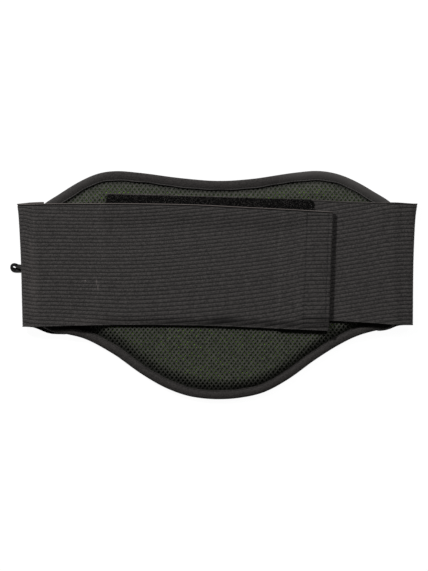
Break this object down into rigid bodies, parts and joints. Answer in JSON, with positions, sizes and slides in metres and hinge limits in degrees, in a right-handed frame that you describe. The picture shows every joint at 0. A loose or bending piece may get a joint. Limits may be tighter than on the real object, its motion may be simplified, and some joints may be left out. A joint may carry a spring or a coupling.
{
  "type": "kidney belt",
  "caption": "Padded kidney belt folded flat: shaped back panel with a mesh lining and bound edge, wide ribbed elastic bands that close with hook and loop, and a small hanging loop.",
  "frame": {"origin": "middle of the panel's outer face, on the surface that the folded belt lies on", "axes": "+X along the belt, +Y up its height when worn, +Z away from the surface, out of the lining"},
  "size_m": [0.4186, 0.2347, 0.0185],
  "materials": {
    "shell_cloth": "plain woven, matt",
    "lining_mesh": "grey net over green foam, matt",
    "binding_tape": "smooth knitted tape, matt",
    "ribbed_elastic": "ribbed elastic, matt",
    "looped_pile": "brushed loops, matt",
    "hook_tape": "moulded hooks, matt",
    "narrow_tape": "woven tape, matt"
  },
  "bodies": {
    "root": {"back_pad": "shell_cloth", "mesh_lining": "lining_mesh", "edge_binding": "binding_tape", "left_band": "ribbed_elastic", "right_band": "ribbed_elastic", "loop_strip": "looped_pile", "hook_panel": "hook_tape", "hang_loop": "narrow_tape"}
  },
  "joints": []
}
